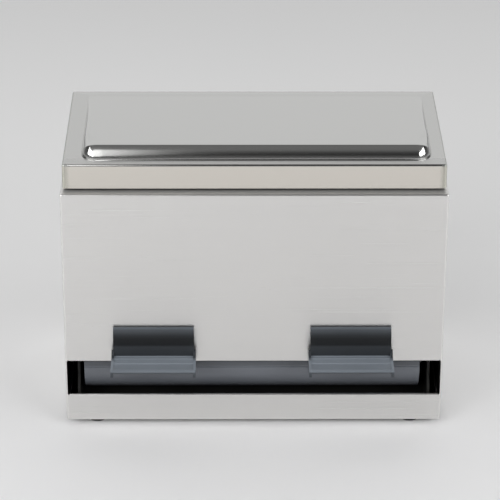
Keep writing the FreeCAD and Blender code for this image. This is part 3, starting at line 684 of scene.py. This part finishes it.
def make_lid():
    points, faces = lid_sheet()
    mesh = bpy.data.meshes.new("pressed_lid")
    mesh.from_pydata([(x * MM, (y - DEPTH_MIDDLE) * MM, z * MM) for x, y, z in points], [], faces)
    mesh.shade_smooth()
    mesh.set_sharp_from_angle(angle=SHARP_ANGLE)
    mesh.materials.append(MATERIALS["brushed_lid"])
    cover = put_in_scene("pressed_lid", mesh)
    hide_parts("lid")
    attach(cover, "lid")


# ---- studio: metres, with the object's front towards -Y ----
# Painted light: the paper is lighter behind the object, turning from one colour to the other between two
# depths.
PAPER_COLOUR = (0.81, 0.81, 0.815)
PAPER_FAR_PAINTED_LIGHT = (0.97, 0.97, 0.97)
PAPER_NEAR = -0.06
PAPER_FAR = 0.18
PAPER_HALF = 12.0
PAPER_CLOUDS = (3, 3, 3)
PAPER_CLOUD_DETAIL = 2
PAPER_CLOUD_COLOUR = (0.6, 0.6, 0.6)
PAPER_CLOUD_SHOWS = 0.02
PAPER_ROUGHNESS = 0.9
PAPER_SHINE = 0.1


def studio_paper():
    paper = Surface("studio_paper")
    far = paper.span(paper.place("Y"), 0, 1, PAPER_NEAR, PAPER_FAR)
    cloud = paper.span(paper.noise(PAPER_CLOUDS, PAPER_CLOUD_DETAIL), 0, PAPER_CLOUD_SHOWS)
    base = paper.blend(far, PAPER_COLOUR, PAPER_FAR_PAINTED_LIGHT)
    paper.shade("Base Color", paper.blend(cloud, base, PAPER_CLOUD_COLOUR))
    paper.shade("Roughness", PAPER_ROUGHNESS)
    paper.shade("Specular IOR Level", PAPER_SHINE)
    return paper.material


def make_stage():
    corners = ((-1, -1), (1, -1), (1, 1), (-1, 1))
    mesh = bpy.data.meshes.new("studio_paper")
    mesh.from_pydata([(x * PAPER_HALF, y * PAPER_HALF, 0) for x, y in corners], [], [(0, 1, 2, 3)])
    mesh.materials.append(studio_paper())
    paper = put_in_scene("studio_paper", mesh)


# Brightness of the room in front by height above the horizon in degrees, and behind.
ROOM_FRONT = (
    (0.0, 0.17), (11.0, 0.108), (22.0, 0.042), (31.0, 0.054), (40.0, 0.114), (48.0, 0.204), (68.0, 0.216),
    (80.0, 0.156), (90.0, 0.144),
)
ROOM_BACK = ((0.0, 0.83), (48.0, 0.83), (64.0, 0.54), (78.0, 0.19), (90.0, 0.144))
OVERHEAD = 90.0
# Cosines of the way round from the back between which the front gives way to the back.
BACK_START = 0.42
BACK_FULL = 0.82


def make_world():
    world = bpy.data.worlds.new("studio")
    tree = Tree(world)
    way = tree.places["Generated"]
    climb = tree.span(tree.maths("ARCSINE", tree.part(way, "Z")), 0, 1, 0, math.pi / 2)
    front, back = (
        tree.grey_ramp(climb, [(height / OVERHEAD, level) for height, level in levels])
        for levels in (ROOM_FRONT, ROOM_BACK)
    )
    level_way = tree.vector_maths("NORMALIZE", tree.vector_maths("MULTIPLY", way, (1, 1, 0)))
    behind = tree.span(tree.part(level_way, "Y"), 0, 1, BACK_START, BACK_FULL, "SMOOTHSTEP")
    tree.feed(tree.blend(behind, front, back), tree.nodes["Background"].inputs["Color"])
    bpy.context.scene.world = world


# Soft boxes in front of both sides, aimed at the middle of the body. Power is in watts.
BOX_OUT = 1.21
BOX_Y = -0.79
BOX_Z = 0.76
BOX_SIZE = (1.5, 0.55)
BOX_AIM = (0, 0, 0.08)
LEFT_POWER = 14.5
RIGHT_POWER = 16.0
# A window in front on the left. Towards the middle it goes on in upright strips, each less bright
# and starting higher.
WINDOW_Y = -1.5
WINDOW_LEFT = -1.40
WINDOW_RIGHT = -0.20
WINDOW_LOW = 0.47
WINDOW_LOW_LAST = 1.05
WINDOW_TOP = 1.62
WINDOW_AIM_Z = 0.17
WINDOW_STRIP = 0.022
WINDOW_LEVELS = (0.85, 0.59, 0.33, 0.16, 0.065, 0.02)
# Watts for each square metre of the window.
WINDOW_POWER = 5.5


def softbox(name, at, size, power, aim):
    data = bpy.data.lights.new(name, "AREA")
    data.shape = "RECTANGLE"
    data.size, data.size_y = size
    data.energy = power
    lamp = put_in_scene(name, data)
    lamp.location = at
    lamp.rotation_euler = (Vector(aim) - Vector(at)).to_track_quat("-Z", "Y").to_euler()


def make_window():
    middle = (WINDOW_LEFT + WINDOW_RIGHT) / 2
    strips = [(middle, WINDOW_RIGHT - WINDOW_LEFT, WINDOW_LOW, 1.0)]
    rise = (WINDOW_LOW_LAST - WINDOW_LOW) / len(WINDOW_LEVELS)
    for index, level in enumerate(WINDOW_LEVELS):
        x = WINDOW_RIGHT + (index + 0.5) * WINDOW_STRIP
        strips.append((x, WINDOW_STRIP, WINDOW_LOW + rise * (index + 1), level))
    for index, (x, width, low, level) in enumerate(strips):
        tall = WINDOW_TOP - low
        at = (x, WINDOW_Y, (WINDOW_TOP + low) / 2)
        power = WINDOW_POWER * width * tall * level
        softbox(f"window_{index}", at, (width, tall), power, (x, 0, WINDOW_AIM_Z))


def make_light():
    make_world()
    softbox("left_box", (-BOX_OUT, BOX_Y, BOX_Z), BOX_SIZE, LEFT_POWER, BOX_AIM)
    softbox("right_box", (BOX_OUT, BOX_Y, BOX_Z), BOX_SIZE, RIGHT_POWER, BOX_AIM)
    make_window()


def main():
    scene = bpy.context.scene
    scene.view_settings.view_transform = "Standard"
    make_camera()
    make_stage()
    make_light()
    cover_nodes()
    make_lid()


main()
